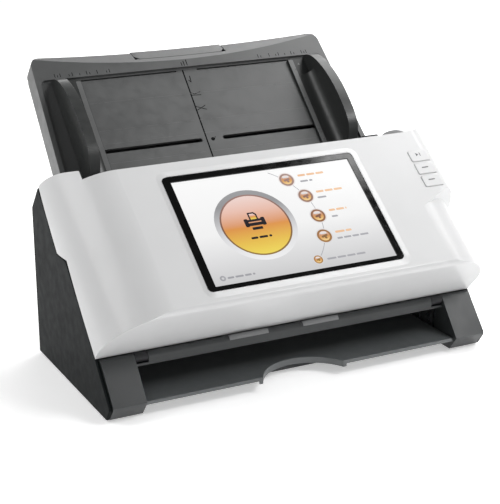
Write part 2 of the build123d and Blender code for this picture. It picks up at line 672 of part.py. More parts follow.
def upper_guide():
    """The cover's inner box: upper paper guide, side webs and hinge knuckles."""
    path_dir = (math.cos(math.radians(PATH_TILT)), math.sin(math.radians(PATH_TILT)))
    normal_dir = (-path_dir[1], path_dir[0])
    face_dir = (math.cos(math.radians(FACE_TILT)), math.sin(math.radians(FACE_TILT)))
    chin_length = math.dist(CHIN_FOOT, CREASE)
    chin_dir = ((CREASE[0] - CHIN_FOOT[0]) / chin_length, (CREASE[1] - CHIN_FOOT[1]) / chin_length)
    back_v = MOUTH_V - WALL - 0.5
    deck = -16.0

    def box_outline(wall):
        ceiling = deck if not wall else deck + 30
        back = back_v - wall
        front = on_path(-239.0 + wall, 14.5 + wall)
        heel = on_path(-224.0 + wall / 2, 2.0 + wall)
        throat = on_path(-131.0 - wall / 4, 2.0 + wall)
        lip = on_path(back, 7.5 + wall)
        top_back = cross(on_path(back, 0), normal_dir, on_face(0, ceiling), face_dir)
        top_front = cross(front, chin_dir, on_face(0, ceiling), face_dir)
        return side_face([front, heel, throat, lip, top_back, top_front])

    half = CHANNEL_HALF - 2
    guide = prism(box_outline(0), -half, half) - prism(box_outline(2.0), -half + 2, half - 2)
    for v, centres, width in [ROLLERS["feed"], ROLLERS["exit"]]:
        for x in centres:
            window = block((x - width / 2 - 1, x + width / 2 + 1), (v - 6.4, v + 6.4), (1, 4.5))
            guide -= PATH_FRAME * window
        guide -= PATH_FRAME * rod(-half - 1, half + 1, v, PINCH_HEIGHT, SHAFT_R - 1 + BORE_SLACK)
    scan = block((-SCAN_HALF - 0.3, SCAN_HALF + 0.3), (UPPER_SCAN_V - 7.3, UPPER_SCAN_V + 7.3), (1, 4.5))
    pad = block((-23.5, 23.5), (PAD_V - 2, PICK_V + 8.5), (1, 16))
    guide -= PATH_FRAME * (scan + pad)
    for x in ((-26.5, -23.5), (23.5, 26.5)):
        ear = block(x, (PAD_V - 3, PAD_V + 7), (3.0, 9.0)) - rod(*x, *PAD_PIVOT, 1.0 + BORE_SLACK)
        guide = guide - PATH_FRAME * rod(x[0] - 1, x[1] + 1, *PAD_PIVOT, 1.5) + PATH_FRAME * ear
    guide -= PATH_FRAME * rod(-half - 1, half + 1, LATCH_V, LATCH_HEIGHT, LATCH_SHAFT_R + BORE_SLACK)
    guide -= lever_slot()
    for side in (-1, 1):
        x0, x1 = sorted((side * KNUCKLE_X[0], side * KNUCKLE_X[1]))
        arm = side_face([(-57.0, 39.4), (-54.2, 36.9), (-47.5, 43.0), (-46.0, 52.0), (-50.4, 52.0),
                         (-51.4, 45.4)])
        knuckle = prism(arm, x0, x1) + rod(x0, x1, *HINGE, KNUCKLE_R)
        guide += knuckle - rod(x0 - 1, x1 + 1, *HINGE, HINGE_PIN_R + BORE_SLACK)
    return guide


def pinch_rollers(name):
    """A pinch shaft with its rollers, in one piece as moulded."""
    v, centres, width = ROLLERS[name]
    turned = rod(-CHANNEL_HALF + 0.8, CHANNEL_HALF - 0.8, v, PINCH_HEIGHT, SHAFT_R - 1)
    for x in centres:
        turned += rod(x - width / 2, x + width / 2, v, PINCH_HEIGHT, PINCH_R)
    return PATH_FRAME * turned


def pad_holder():
    """The sprung arm that presses the separation pad onto the pick rollers."""
    arm = block((-22, 22), (PAD_V + 1, PICK_V + 6), (2.6, 5.6))
    arm += rod(-22, 22, *PAD_PIVOT, 2.4) + rod(-25.5, 25.5, *PAD_PIVOT, 1.0)
    return PATH_FRAME * arm


def separation_pad():
    pad = block((-20, 20), (PICK_V - 5, PICK_V + 5), (0.6, 2.6))
    return PATH_FRAME * chamfer(pad.edges().filter_by(Axis.X), 0.4)


def lever_slot():
    """The opening in the mouth's front wall that the release lever swings in."""
    return PATH_FRAME * block((103, 121), (MOUTH_V - WALL - 3, MOUTH_V + 1), (24.5, 46))


def latch():
    """Latch shaft across the cover with a hook at each end."""
    bar = rod(-HOOK_X - 5, HOOK_X + 5, LATCH_V, LATCH_HEIGHT, LATCH_SHAFT_R)
    for side in (-1, 1):
        x = sorted((side * HOOK_X, side * (HOOK_X + 4)))
        shank = block(x, (LATCH_V - 2.2, LATCH_V + 2.2), (-1.6, LATCH_HEIGHT))
        nose = block(x, (LATCH_V - 2.2, LATCH_V + 5.8), (-1.6, 1.9))
        hub = rod(*x, LATCH_V, LATCH_HEIGHT, 5.0)
        bar += shank + nose + hub
    return PATH_FRAME * bar


def release_lever():
    """The dark thumb lever on the latch shaft, which shows behind the cover's top edge."""
    x0, x1 = 105, 119
    arm = side_face([(LATCH_V + 2, LATCH_HEIGHT - 4), (MOUTH_V - 1, 32), (MOUTH_V + 4.0, 36.5),
                     (MOUTH_V + 7.5, 43), (MOUTH_V + 6.2, 45), (MOUTH_V + 1, 41.5), (MOUTH_V - 5, 38),
                     (LATCH_V - 4, LATCH_HEIGHT + 3)])
    lever = rod(x0, x1, LATCH_V, LATCH_HEIGHT, 5.5) + prism(arm, x0, x1)
    return PATH_FRAME * (lever - rod(x0 - 5, x1 + 5, LATCH_V, LATCH_HEIGHT, LATCH_SHAFT_R))


# ---------------------------------------------------------------- input tray

def tray_plan(inset, foot, top):
    """The tray's plan outline, tapered with rounded upper corners, in the path frame."""
    taper = (TRAY_HALF_FOOT - TRAY_HALF_TOP) / (TRAY_TOP + 81)

    def half_at(v):
        return TRAY_HALF_TOP + taper * (TRAY_TOP - v) - inset

    corners = [(-half_at(foot), foot), (-half_at(top), top), (half_at(top), top), (half_at(foot), foot)]
    lines = FilletPolyline(*corners, radius=[9.0 - inset, 9.0 - inset])
    base = Line((half_at(foot), foot), (-half_at(foot), foot))
    return make_face([*lines.edges(), *base.edges()])


def extension_space(slack):
    """The channel in the tray that the extension slides in."""
    low = -13 - slack
    plate = block((-38 - slack, 38 + slack), (EXTENSION_FOOT - slack, TRAY_TOP + 5), (low, -10.5 + slack))
    head = block((-EXTENSION_HALF - slack, EXTENSION_HALF + slack), (15.5 - slack, TRAY_TOP + 5), (low, 8))
    return plate + head


def input_tray():
    """The tray: floor with guide slots, low rims, tilted top lip, hollow underneath."""
    rim = 2.6
    body = extrude(tray_plan(0, TRAY_FOOT, TRAY_TOP), amount=TRAY_DEPTH + rim)
    body = Pos(0, 0, -TRAY_DEPTH) * body
    basin = extrude(tray_plan(4.0, TRAY_FOOT - 10, 2.2), amount=20)
    body -= basin
    body -= above_lip()
    hollow = extrude(tray_plan(WALL, TRAY_FOOT + WALL, TRAY_TOP - WALL - 6), amount=TRAY_DEPTH - PLATE)
    body -= Pos(0, 0, -TRAY_DEPTH) * hollow
    body += post(0, PINION_V, RACK_LAYER[0] - 1, -1.0, 4.0)
    body -= post(0, PINION_V, RACK_LAYER[0] - 2, RACK_LAYER[1] + 0.3, 4.5)
    body += post(0, PINION_V, RACK_LAYER[0] - 1, RACK_LAYER[1] + 0.5, 2.0)
    for v, width in SLOT_WIDTHS.items():
        for side in (-1, 1):
            x = sorted((side * SLOT_X[0], side * SLOT_X[1]))
            body -= slab(x[1] - x[0], width, width / 2 - 0.01, -6, 6, x=sum(x) / 2, y=v)
    body -= extension_space(0.4)
    body += tongues(0) + mirrored(tongues(0))
    return body


def above_lip():
    """The space above the tray's upper lip, which turns back along a shallow arch."""
    lip_r = 1400.0
    lip_tilt = 26.0
    crease_v = 15.0
    hollow = Pos(0, 60, lip_r) * Rot(90, 0, 0) * Cylinder(lip_r, 400)
    return Pos(0, crease_v, 0) * Rot(-lip_tilt, 0, 0) * hollow


def tray_extension():
    plate = block((-38, 38), (EXTENSION_FOOT, TRAY_TOP), (-13, -10.5))
    head = block((-EXTENSION_HALF, EXTENSION_HALF), (15.5, TRAY_TOP + 2), (-13, 2))
    head = chamfer(head.edges().filter_by(Axis.Z).group_by(Axis.Y)[0], 4.0)
    return plate + (head - above_lip())


def tray_bottom():
    plate = extrude(tray_plan(0.3, TRAY_FOOT, TRAY_TOP - 4), amount=COVER_PLATE)
    plate = Pos(0, 0, -TRAY_DEPTH - COVER_PLATE) * plate
    rib_rise = (-TRAY_DEPTH - COVER_PLATE - 0.8, -TRAY_DEPTH - 1)
    ribs = [block((-100, 100), (v, v + 1.5), rib_rise) for v in (-80, -50)]
    return plate + ribs


def guide_fence_face():
    """Side view of a guide's fence in (v, h): a quick rise, a long flat curve and a rounded foot."""
    low = 0.5
    foot = TRAY_FOOT + 1.0
    line = [(1.0, low), (-3.0, 10.0), (-14.0, 18.5), (-30.0, 24.8), (-50.0, 28.8), (-72.0, 29.2),
            (-87.0, 25.8), (-94.5, 18.0), (foot, 9.0)]
    crown = Spline(*[(0, v, h) for v, h in line])
    edges = Polyline((0, foot, 9.0), (0, foot, low), (0, 1.0, low))
    return make_face([*crown.edges(), *edges.edges()])


def paper_guide():
    """The right paper guide: foot plate, filleted fence and the posts through the tray's slots."""
    outside = FENCE_X + FENCE_THICK
    guide = prism(guide_fence_face(), FENCE_X, outside)
    guide += block((GUIDE_FOOT_X, outside), (TRAY_FOOT + 1.0, -1.0), (0.5, 2.3))
    root = block((FENCE_X - FENCE_ROOT, FENCE_X), (TRAY_FOOT + 7.0, -18.0), (2.3, 2.3 + FENCE_ROOT))
    root -= Pos(FENCE_X - FENCE_ROOT, 0, 2.3 + FENCE_ROOT) * Rot(90, 0, 0) * Cylinder(FENCE_ROOT, 400)
    guide += root
    guide -= block((FENCE_X + 2.2, outside - 2.2), (TRAY_FOOT + 5.0, -12.0), (-1, 14.0))
    for v, width in SLOT_WIDTHS.items():
        thick = width - 0.6
        guide += block(GUIDE_POST_X, (v - thick / 2, v + thick / 2), (RACK_LAYER[1], 1.5))
    return guide


def rack_outline(length, side):
    """Rack bar along X with teeth on the side that faces the pinion; its pitch line is at y = 0."""
    pitch = math.pi * GEAR_MODULE
    tip = 0.85 * GEAR_MODULE
    root = -1.15 * GEAR_MODULE
    slope = math.tan(math.radians(20))
    half = (pitch / 2 - 0.3) / 2
    count = int(length / pitch) - 1
    points = [(0, root - 5.0), (0, root)]
    for i in range(count):
        centre = pitch * (i + 1)
        points += [(centre - half + root * slope, root), (centre - half + tip * slope, tip),
                   (centre + half - tip * slope, tip), (centre + half - root * slope, root)]
    points += [(length, root), (length, root - 5.0)]
    return make_face(Polyline(*[(x, side * y) for x, y in points], close=True))


def guide_rack(side):
    """The rack under one guide (side 1 is right), with the arm that reaches the guide's post."""
    thick = RACK_LAYER[1] - RACK_LAYER[0]
    bar = extrude(rack_outline(RACK_LENGTH, -side), amount=thick)
    pitch = math.pi * GEAR_MODULE
    inner = -round(9.0 / pitch) * pitch
    start = inner if side > 0 else -inner - RACK_LENGTH
    if side < 0:
        start = -(round((RACK_LENGTH - 9.0) / pitch) * pitch)
    bar = Pos(start, PINION_V + side * PINION_R, RACK_LAYER[0]) * bar
    post_v = 0.0 if side > 0 else SLOT_FOOT
    reach = sorted((post_v, PINION_V + side * (PINION_R + 3)))
    x = sorted(side * edge for edge in GUIDE_POST_X)
    ends = (reach[0] - (0.6 if side > 0 else 2.0), reach[1] + (1.5 if side > 0 else 0.6))
    arm = block(x, ends, RACK_LAYER)
    return bar + arm


def rack_pinion():
    thick = RACK_LAYER[1] - RACK_LAYER[0] - 0.4
    wheel = extrude(gear_outline(PINION_TEETH), amount=thick)
    wheel -= Cylinder(2.0 + BORE_SLACK, 20)
    return Pos(0, PINION_V, RACK_LAYER[0] + 0.2) * Rot(0, 0, PINION_PHASE) * wheel


# ---------------------------------------------------------------- assembly

def assemble():
    nodes = {
        "base_pan": base_pan(),
        "side_cover_left": mirrored(side_cover()),
        "side_cover_right": side_cover(),
        "rear_cover": rear_cover(),
        "pillar_left": mirrored(pillar()),
        "pillar_right": pillar(),
        "crossbeam": crossbeam(),
        "hinge_pins": hinge_pins(),
        "side_frame_left": mirrored(side_frame()),
        "side_frame_right": right_frame(),
        "frame_screws": frame_screws(),
        "shaft_bushes": shaft_bushes(),
        "lower_guide": lower_guide(),
        "lower_scan_unit": scan_unit(LOWER_SCAN_V, -16.0, -PLATE - 0.1),
        "lower_scan_glass": scan_glass(LOWER_SCAN_V, -PLATE, -0.3),
        "bay_liner": bay_liner(),
        "output_slab": output_slab(),
        "rubber_feet": rubber_feet(),
        "motor": motor(),
        "main_board": main_board(),
        "cover_shell": cover_shell(),
        "upper_guide": upper_guide(),
        "display_glass": display_glass(),
        "display_panel": display_panel(),
        "display_bracket": display_bracket(),
        "control_boards": Compound([*display_board().solids(), *button_board().solids()]),
        "upper_scan_unit": scan_unit(UPPER_SCAN_V, 4.6, 18.0),
        "upper_scan_glass": scan_glass(UPPER_SCAN_V, 2.2, 4.5),
        "feed_pinch_rollers": pinch_rollers("feed"),
        "exit_pinch_rollers": pinch_rollers("exit"),
        "pad_holder": pad_holder(),
        "separation_pad": separation_pad(),
        "latch_hooks": latch(),
        "release_lever": release_lever(),
        "input_tray": PATH_FRAME * input_tray(),
        "tray_bottom": PATH_FRAME * tray_bottom(),
        "tray_extension": PATH_FRAME * tray_extension(),
        "paper_guide_left": PATH_FRAME * mirrored(paper_guide()),
        "paper_guide_right": PATH_FRAME * paper_guide(),
        "guide_rack_left": PATH_FRAME * guide_rack(-1),
        "guide_rack_right": PATH_FRAME * guide_rack(1),
        "rack_pinion": PATH_FRAME * rack_pinion(),
    }
    for name in PORT_X:
        nodes[name] = port(name)
    for name in ROLLERS:
        nodes[name + "_shaft"] = drive_shaft(name)
        nodes[name + "_rollers"] = drive_rollers(name)
    for name, gear in drive_gears().items():
        nodes[name] = motor_pinion(gear) if name == "motor_pinion" else PATH_FRAME * gear
    for name, v in BUTTON_ROWS.items():
        nodes["button_" + name] = face_button(v)
    return nodes


NODES = assemble()
BOXES = [shape.bounding_box() for shape in NODES.values()]
FRONT_Y = min(box.min.Y for box in BOXES)
REAR_Y = max(box.max.Y for box in BOXES)
ORIGIN_Y = (FRONT_Y + REAR_Y) / 2       # the origin is under the middle of the whole object

for node_name, node_shape in NODES.items():
    export_step(Pos(0, -ORIGIN_Y, 0) * node_shape, "parts/" + node_name + ".step")
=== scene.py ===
import json
import math
import random

import bpy
import bmesh
from mathutils import Matrix, Vector


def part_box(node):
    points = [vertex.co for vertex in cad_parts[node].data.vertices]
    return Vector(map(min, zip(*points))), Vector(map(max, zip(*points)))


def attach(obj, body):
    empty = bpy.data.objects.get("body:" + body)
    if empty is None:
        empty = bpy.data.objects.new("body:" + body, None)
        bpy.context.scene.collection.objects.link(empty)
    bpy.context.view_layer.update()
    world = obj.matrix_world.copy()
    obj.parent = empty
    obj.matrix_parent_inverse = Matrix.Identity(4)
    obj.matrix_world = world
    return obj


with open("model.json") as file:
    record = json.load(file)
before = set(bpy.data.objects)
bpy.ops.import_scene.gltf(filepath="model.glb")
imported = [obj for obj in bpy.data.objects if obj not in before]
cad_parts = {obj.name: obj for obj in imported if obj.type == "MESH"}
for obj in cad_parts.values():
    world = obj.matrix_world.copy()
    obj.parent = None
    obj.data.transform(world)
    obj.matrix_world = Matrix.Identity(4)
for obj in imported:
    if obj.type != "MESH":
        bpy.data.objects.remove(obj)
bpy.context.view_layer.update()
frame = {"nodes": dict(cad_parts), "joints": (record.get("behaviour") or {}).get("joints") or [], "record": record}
nodes = frame["nodes"]
joints = {joint["name"]: joint for joint in frame["joints"]}
MM = 0.001


# ---------------------------------------------------------------- local frames, in mm

def local_frame(origin, up, across=(1, 0, 0)):
    """Matrix from (across, along, above) in mm to the row frame."""
    x = Vector(across)
    up = up.normalized()
    turn = Matrix((x, up, x.cross(up))).transposed().to_4x4()
    return Matrix.Translation(origin) @ turn @ Matrix.Scale(MM, 4)


# The path frame: origin where the tray's upper slot meets its floor, across X, along the slope, above it.
PINION_V, PINION_H = -34.0, -6.0        # where the rack pinion lies in it
path_up = Vector(joints["tray_lift_off"]["axis"]).normalized()
path_normal = Vector((1, 0, 0)).cross(path_up)
path_point = Vector(joints["rack_pinion_spin"]["pos_m"]) - MM * (PINION_V * path_up + PINION_H * path_normal)
PATH = local_frame(path_point, path_up)

face_normal = -Vector(joints["button_top_press"]["axis"]).normalized()
face_up = face_normal.cross(Vector((1, 0, 0)))
glass_low, glass_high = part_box("display_glass")
# The face frame: across X, up the sloping face, and above it.
GLASS_MIDDLE_V, GLASS_MIDDLE_H = 0.162, -1.135      # where the middle of the glass's box lies in it
GLASS_TOP_H = -0.2
face_point = (glass_low + glass_high) / 2 - MM * (GLASS_MIDDLE_V * face_up + GLASS_MIDDLE_H * face_normal)
face_point.x = 0
FACE = local_frame(face_point, face_up)


# ---------------------------------------------------------------- materials

def start_material(name):
    """A new material with only a Principled shader."""
    material = bpy.data.materials.new(name)
    material.use_nodes = True
    tree = material.node_tree
    tree.nodes.clear()
    shader = tree.nodes.new("ShaderNodeBsdfPrincipled")
    output = tree.nodes.new("ShaderNodeOutputMaterial")
    tree.links.new(shader.outputs["BSDF"], output.inputs["Surface"])
    return material, tree, shader


def noise(tree, scale, detail=2.0, stretch=(1, 1, 1)):
    """Noise over the object, with about `scale` features to the metre."""
    coords = tree.nodes.new("ShaderNodeTexCoord")
    mapping = tree.nodes.new("ShaderNodeMapping")
    mapping.inputs["Scale"].default_value = stretch
    texture = tree.nodes.new("ShaderNodeTexNoise")
    texture.inputs["Scale"].default_value = scale
    texture.inputs["Detail"].default_value = detail
    tree.links.new(coords.outputs["Object"], mapping.inputs["Vector"])
    tree.links.new(mapping.outputs["Vector"], texture.inputs["Vector"])
    return texture.outputs["Fac"]


def ramp(tree, source, stops):
    node = tree.nodes.new("ShaderNodeValToRGB")
    while len(node.color_ramp.elements) < len(stops):
        node.color_ramp.elements.new(0.5)
    for element, (place, color) in zip(node.color_ramp.elements, stops):
        element.position = place
        element.color = (*color[:3], 1)
    tree.links.new(source, node.inputs["Fac"])
    return node.outputs["Color"]


def spread(tree, source, low, high):
    node = tree.nodes.new("ShaderNodeMapRange")
    node.inputs["To Min"].default_value = low
    node.inputs["To Max"].default_value = high
    node.inputs["From Min"].default_value = 0.3
    node.inputs["From Max"].default_value = 0.7
    tree.links.new(source, node.inputs["Value"])
    return node.outputs["Result"]


def bump(tree, shader, source, strength, depth):
    node = tree.nodes.new("ShaderNodeBump")
    node.inputs["Strength"].default_value = strength
    node.inputs["Distance"].default_value = depth
    tree.links.new(source, node.inputs["Height"])
    tree.links.new(node.outputs["Normal"], shader.inputs["Normal"])


def shade(color, factor):
    return tuple(min(1.0, channel * factor) for channel in color)


def plastic(name, color, roughness, grain=1800.0, grain_depth=0.00006, mottle=0.05, metallic=0.0, coat=0.0,
            stretch=(1, 1, 1), specular=0.5):
    """Moulded or finished surface: faint colour drift, uneven gloss and a fine grain."""
    material, tree, shader = start_material(name)
    drift = noise(tree, 22.0, 3.0)
    tint = ramp(tree, drift, [(0.3, shade(color, 1 - mottle)), (0.7, shade(color, 1 + mottle))])
    tree.links.new(tint, shader.inputs["Base Color"])
    gloss = spread(tree, noise(tree, 140.0, 4.0, stretch), roughness - 0.05, roughness + 0.05)
    tree.links.new(gloss, shader.inputs["Roughness"])
    bump(tree, shader, noise(tree, grain, 1.0, stretch), 0.5, grain_depth)
    shader.inputs["Metallic"].default_value = metallic
    shader.inputs["Specular IOR Level"].default_value = specular
    shader.inputs["Coat Weight"].default_value = coat
    shader.inputs["Coat Roughness"].default_value = 0.12
    return material


def from_screen(red, green, blue):
    """A colour picked as it should look on a monitor, 0 to 255, as linear light."""
    levels = (red / 255, green / 255, blue / 255)
    return tuple(v / 12.92 if v < 0.0404 else ((v + 0.055) / 1.055) ** 2.4 for v in levels)


def lit(name, color_stops, axis="Y", glow=0.92):
    """Part of the screen's picture, with its own light and a gradient over its own height or width."""
    material, tree, shader = start_material(name)
    coords = tree.nodes.new("ShaderNodeTexCoord")
    split = tree.nodes.new("ShaderNodeSeparateXYZ")
    tree.links.new(coords.outputs["Generated"], split.inputs["Vector"])
    stops = [(place, from_screen(*color)) for place, color in color_stops]
    tint = ramp(tree, split.outputs[axis], stops)
    under = ramp(tree, split.outputs[axis], [(place, shade(color, 0.06)) for place, color in stops])
    tree.links.new(under, shader.inputs["Base Color"])
    tree.links.new(tint, shader.inputs["Emission Color"])
    shader.inputs["Emission Strength"].default_value = glow
    shader.inputs["Specular IOR Level"].default_value = 0.2
    gloss = spread(tree, noise(tree, 60.0, 3.0), 0.14, 0.2)
    tree.links.new(gloss, shader.inputs["Roughness"])
    return material


def circuit(name):
    """Green board with a cell pattern like its tracks."""
    material, tree, shader = start_material(name)
    coords = tree.nodes.new("ShaderNodeTexCoord")
    cells = tree.nodes.new("ShaderNodeTexVoronoi")
    cells.feature = "DISTANCE_TO_EDGE"
    cells.inputs["Scale"].default_value = 260.0
    tree.links.new(coords.outputs["Object"], cells.inputs["Vector"])
    tint = ramp(tree, cells.outputs["Distance"], [(0.02, (0.10, 0.33, 0.14)), (0.08, (0.02, 0.12, 0.05))])
    tree.links.new(tint, shader.inputs["Base Color"])
    gloss = spread(tree, noise(tree, 300.0), 0.3, 0.45)
    tree.links.new(gloss, shader.inputs["Roughness"])
    bump(tree, shader, cells.outputs["Distance"], 0.4, 0.0001)
    return material


MATERIALS = {
    "white_shell": plastic("white_shell", (0.60, 0.602, 0.605), 0.34, 2600, 0.00002, 0.012,
                           coat=0.1, specular=0.4),
    "charcoal_casing": plastic("charcoal_casing", (0.023, 0.0255, 0.0265), 0.40, 2000, 0.00006, 0.10,
                               specular=0.5),
    "grey_tray": plastic("grey_tray", (0.064, 0.066, 0.066), 0.36, 2200, 0.00005, 0.07, specular=0.7),
    "black_guide": plastic("black_guide", (0.02, 0.02, 0.022), 0.5, 1800, 0.00008, 0.1, specular=0.3),
    "nylon": plastic("nylon", (0.78, 0.77, 0.72), 0.4, 1200, 0.00003, 0.03),
    "steel": plastic("steel", (0.62, 0.62, 0.64), 0.3, 1500, 0.00002, 0.05,
                     metallic=1.0, stretch=(0.06, 1, 1)),
    "soft_rubber": plastic("soft_rubber", (0.035, 0.035, 0.038), 0.75, 900, 0.00012, 0.15, specular=0.3),
    "screen_glass": plastic("screen_glass", (0.0015, 0.0015, 0.0016), 0.1, 60, 0.000005, 0.1, specular=0.42),
    "clear_glass": plastic("clear_glass", (0.45, 0.52, 0.52), 0.08, 60, 0.000005, 0.05, coat=1.0),
    "display": plastic("display", (0.5, 0.5, 0.52), 0.25, 400, 0.00001, 0.03),
    "sensor": plastic("sensor", (0.014, 0.014, 0.015), 0.38, 1500, 0.00005, 0.1),
    "circuit_board": circuit("circuit_board"),
}
# painted shade: the side covers get a darker copy of the charcoal casing, so that they read as the shaded side
side_plastic_painted_shade = plastic("charcoal_side_painted_shade", (0.0090, 0.0106, 0.0111), 0.45, 2000, 0.00004, 0.08, specular=0.03)
guide_plastic = plastic("guide_plastic", (0.022, 0.0235, 0.023), 0.36, 2200, 0.00002, 0.05, specular=0.4)
# painted light: the output slab and bay liner get a lighter copy of the charcoal casing, so that the bay under the
# cover reads lit
bay_plastic_painted_light = plastic("bay_plastic_painted_light", (0.095, 0.102, 0.104), 0.36, 2000, 0.00006, 0.08, specular=0.6)
# Own copies for some nodes: painted shade on the side covers, painted light on the slab and bay liner, and a
# glossier finish on the guides.
PAINTED_LIGHT_AND_FINISH = {
    "output_slab": bay_plastic_painted_light, "bay_liner": bay_plastic_painted_light,
    "side_cover_left": side_plastic_painted_shade, "side_cover_right": side_plastic_painted_shade,
    "paper_guide_left": guide_plastic, "paper_guide_right": guide_plastic,
}
for row in frame["record"]["subparts"]:
    mesh_materials = nodes[row["node"]].data.materials
    mesh_materials.clear()
    mesh_materials.append(PAINTED_LIGHT_AND_FINISH.get(row["node"], MATERIALS[row["material_slot"]]))


def soften(names, width, segments=2):
    """Rounds the sharp edges of CAD nodes, with modifiers only."""
    for name in names:
        item = nodes[name]
        weld = item.modifiers.new("Weld", "WELD")
        weld.merge_threshold = 0.00001
        bevel = item.modifiers.new("Bevel", "BEVEL")
        bevel.width = width
        bevel.segments = segments
        bevel.limit_method = "ANGLE"
        bevel.angle_limit = math.radians(35)
        bevel.use_clamp_overlap = True
        item.modifiers.new("Normals", "WEIGHTED_NORMAL").weight = 60


soften(["pillar_left", "pillar_right", "side_cover_left", "side_cover_right"], 0.0009, 3)
soften(["output_slab", "crossbeam", "tray_extension", "paper_guide_left", "paper_guide_right",
        "release_lever", "rear_cover", "base_pan", "button_top", "button_middle", "button_bottom"], 0.0005)


# ---------------------------------------------------------------- pieces

def finish_piece(name, mesh, place, body, material):
    for vertex in mesh.verts:
        vertex.co = place @ vertex.co
    bmesh.ops.recalc_face_normals(mesh, faces=mesh.faces)
    data = bpy.data.meshes.new(name)
    mesh.to_mesh(data)
    mesh.free()
    piece = bpy.data.objects.new(name, data)
    bpy.context.scene.collection.objects.link(piece)
    data.materials.append(material)
    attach(piece, body)
    return piece


def add_prism(mesh, outline, low, high, taper=0.0):
    """A closed prism over an outline of (across, along) points; its upper edge draws in by `taper`."""
    middle = (sum(p[0] for p in outline) / len(outline), sum(p[1] for p in outline) / len(outline))
    reach = max(math.dist(p, middle) for p in outline)
    shrink = 1 - taper / reach
    base = [mesh.verts.new((*p, low)) for p in outline]
    drawn_in = [tuple(m + (c - m) * shrink for c, m in zip(p, middle)) for p in outline]
    top = [mesh.verts.new((*p, high)) for p in drawn_in]
    mesh.faces.new(base)
    mesh.faces.new(top)
    for i in range(len(outline)):
        j = (i + 1) % len(outline)
        mesh.faces.new((base[i], base[j], top[j], top[i]))


def add_strip(mesh, inner, outer, low, high, closed=True):
    """A closed band between two lines of the same number of points."""
    count = len(inner)
    rings = [[mesh.verts.new((*p, z)) for p in line] for line, z in
             ((inner, low), (outer, low), (outer, high), (inner, high))]
    last = count if closed else count - 1
    for i in range(last):
        j = (i + 1) % count
        for a, b in ((0, 1), (1, 2), (2, 3), (3, 0)):
            mesh.faces.new((rings[a][i], rings[a][j], rings[b][j], rings[b][i]))
    if not closed:
        mesh.faces.new([ring[0] for ring in rings])
        mesh.faces.new([ring[-1] for ring in rings])


def circle(x, y, radius, count=48):
    turns = [2 * math.pi * i / count for i in range(count)]
    return [(x + radius * math.cos(a), y + radius * math.sin(a)) for a in turns]


def rounded_box(x0, x1, y0, y1, radius, count=6):
    points = []
    for cx, cy, start in ((x1 - radius, y1 - radius, 0), (x0 + radius, y1 - radius, 90),
                          (x0 + radius, y0 + radius, 180), (x1 - radius, y0 + radius, 270)):
        for i in range(count + 1):
            a = math.radians(start + 90 * i / count)
            points.append((cx + radius * math.cos(a), cy + radius * math.sin(a)))
    return points


def bar(start, end, width, count=5):
    """Outline of a straight bar with rounded ends."""
    a = Vector(start)
    b = Vector(end)
    angle = math.atan2((b - a).y, (b - a).x)
    points = []
    for middle, turn in ((b, -math.pi / 2), (a, math.pi / 2)):
        for i in range(count + 1):
            t = angle + turn + math.pi * i / count
            points.append((middle.x + width / 2 * math.cos(t), middle.y + width / 2 * math.sin(t)))
    return points


def tiles(name, outlines, low, high, place, body, slot, material, taper=0.0):
    mesh = bmesh.new()
    for outline in outlines:
        add_prism(mesh, outline, low, high, taper)
    return finish_piece(name, mesh, place, body, material)


def rings(name, bands, low, high, place, body, slot, material):
    """Flat rings, each given as (x, y, inner radius, outer radius)."""
    mesh = bmesh.new()
    for x, y, inner, outer in bands:
        add_strip(mesh, circle(x, y, inner), circle(x, y, outer), low, high)
    return finish_piece(name, mesh, place, body, material)


# ---------------------------------------------------------------- screen picture

LAYER = 0.04                            # height of one layer of the picture, in mm
SCREEN_LOW, SCREEN_HIGH = (-76.2, -48.1), (76.2, 47.5)
BIG = (-24.2, -0.9)
BIG_R = 27.6
ARC_R = 53.0
SMALL_SPOTS = [(16.5, 35.2, 5.9), (25.6, 17.9, 5.9), (27.8, -1.6, 5.9),
               (24.9, -20.4, 5.9), (11.1, -40.0, 3.6)]          # x, v, radius
# Rows of words on the screen, as x from, x to, v.
LABELS = [(27.0, 49.4, 37.6), (35.6, 59.6, 20.3), (38.5, 54.0, 1.7), (35.0, 50.5, -18.5)]
NOTES = [(27.0, 37.5, 31.9), (34.6, 43.6, 14.8), (38.6, 45.2, -4.2), (34.4, 61.2, -24.3), (18.3, 51.4, -40.8),
         (-64.0, -42.0, -42.6)]


def layer(index):
    """Lowest and highest level of one layer of the picture; the lowest layer starts in the glass."""
    low = GLASS_TOP_H - 0.01 + LAYER * index
    return low, low + LAYER


def screen_tiles(name, outlines, index, material):
    return tiles(name, outlines, *layer(index), FACE, "cover", "display", material)


def screen_rings(name, bands, index, material):
    return rings(name, bands, *layer(index), FACE, "cover", "display", material)


def word_bars(rows, height, seed):
    """Rows of small bars, each the length of a word."""
    draw = random.Random(seed)
    outlines = []
    for x0, x1, v in rows:
        x = x0
        while x < x1 - 1.0:
            length = min(draw.uniform(4.5, 9.0), x1 - x)
            outlines.append(rounded_box(x, x + length, v - height / 2, v + height / 2, height * 0.4, 3))
            x += length + 1.1
    return outlines


